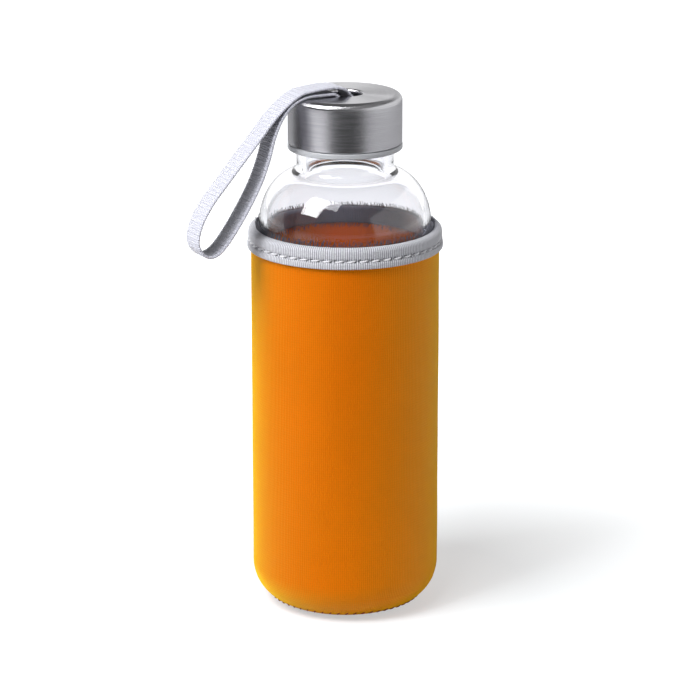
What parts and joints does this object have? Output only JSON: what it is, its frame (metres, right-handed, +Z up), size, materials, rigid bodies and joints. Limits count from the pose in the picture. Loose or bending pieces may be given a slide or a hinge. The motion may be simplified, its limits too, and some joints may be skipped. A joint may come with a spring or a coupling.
{
  "type": "glass water bottle",
  "caption": "Clear glass water bottle with a steel screw cap on a plastic liner, a webbing carrying loop and a bound neoprene sleeve that it slides out of.",
  "frame": {"origin": "on the bottle's axis, at the underside of the sleeve, where it stands", "axes": "+Z up along the bottle's axis, the carrying loop hangs towards -X, the sleeve's side seam is at +X"},
  "size_m": [0.0969, 0.0706, 0.1945],
  "materials": {
    "neoprene": "orange knit jersey laminated on foam neoprene",
    "seam_thread": "spun polyester thread",
    "binding_tape": "pale grey ribbed polyester tape",
    "binding_thread": "pale grey polyester thread",
    "clear_glass": "clear, fire-polished",
    "silicone": "matt translucent white",
    "liner_plastic": "moulded polypropylene, satin",
    "cap_steel": "stainless steel, brushed round the axis",
    "bar_steel": "drawn stainless steel rod",
    "webbing": "woven polyester webbing, white"
  },
  "bodies": {
    "sleeve": {"sleeve_body": "neoprene", "sleeve_base": "neoprene", "side_seam_stitches": "seam_thread", "base_seam_stitches": "seam_thread", "top_binding": "binding_tape", "binding_stitches": "binding_thread"},
    "bottle": {"glass_bottle": "clear_glass"},
    "seal": {"seal_ring": "silicone"},
    "cap": {"cap_liner": "liner_plastic", "cap_shell": "cap_steel", "strap_bar": "bar_steel", "strap_root": "webbing", "strap_stitches": "binding_thread"},
    "strap": {"strap_loop": "webbing"}
  },
  "joints": [
    {"name": "bottle_pull", "type": "slide", "parent": "sleeve", "child": "bottle", "axis": [0, 0, 1], "range_m": [0, 0.145]},
    {"name": "cap_rise", "type": "slide", "parent": "bottle", "child": "seal", "axis": [0, 0, 1], "range_m": [0, 0.0065]},
    {"name": "cap_turn", "type": "hinge", "parent": "seal", "child": "cap", "pos_m": [0, 0, 0.19], "axis": [0, 0, 1], "range_deg": [0, 540]},
    {"name": "strap_swing", "type": "hinge", "parent": "cap", "child": "strap", "pos_m": [0, 0, 0.1912], "axis": [0, 1, 0], "range_deg": [0, 130]}
  ],
  "couplings": [
    {"joint": "cap_rise", "follows": "cap_turn", "m_per_rad": 0.00066845}
  ]
}
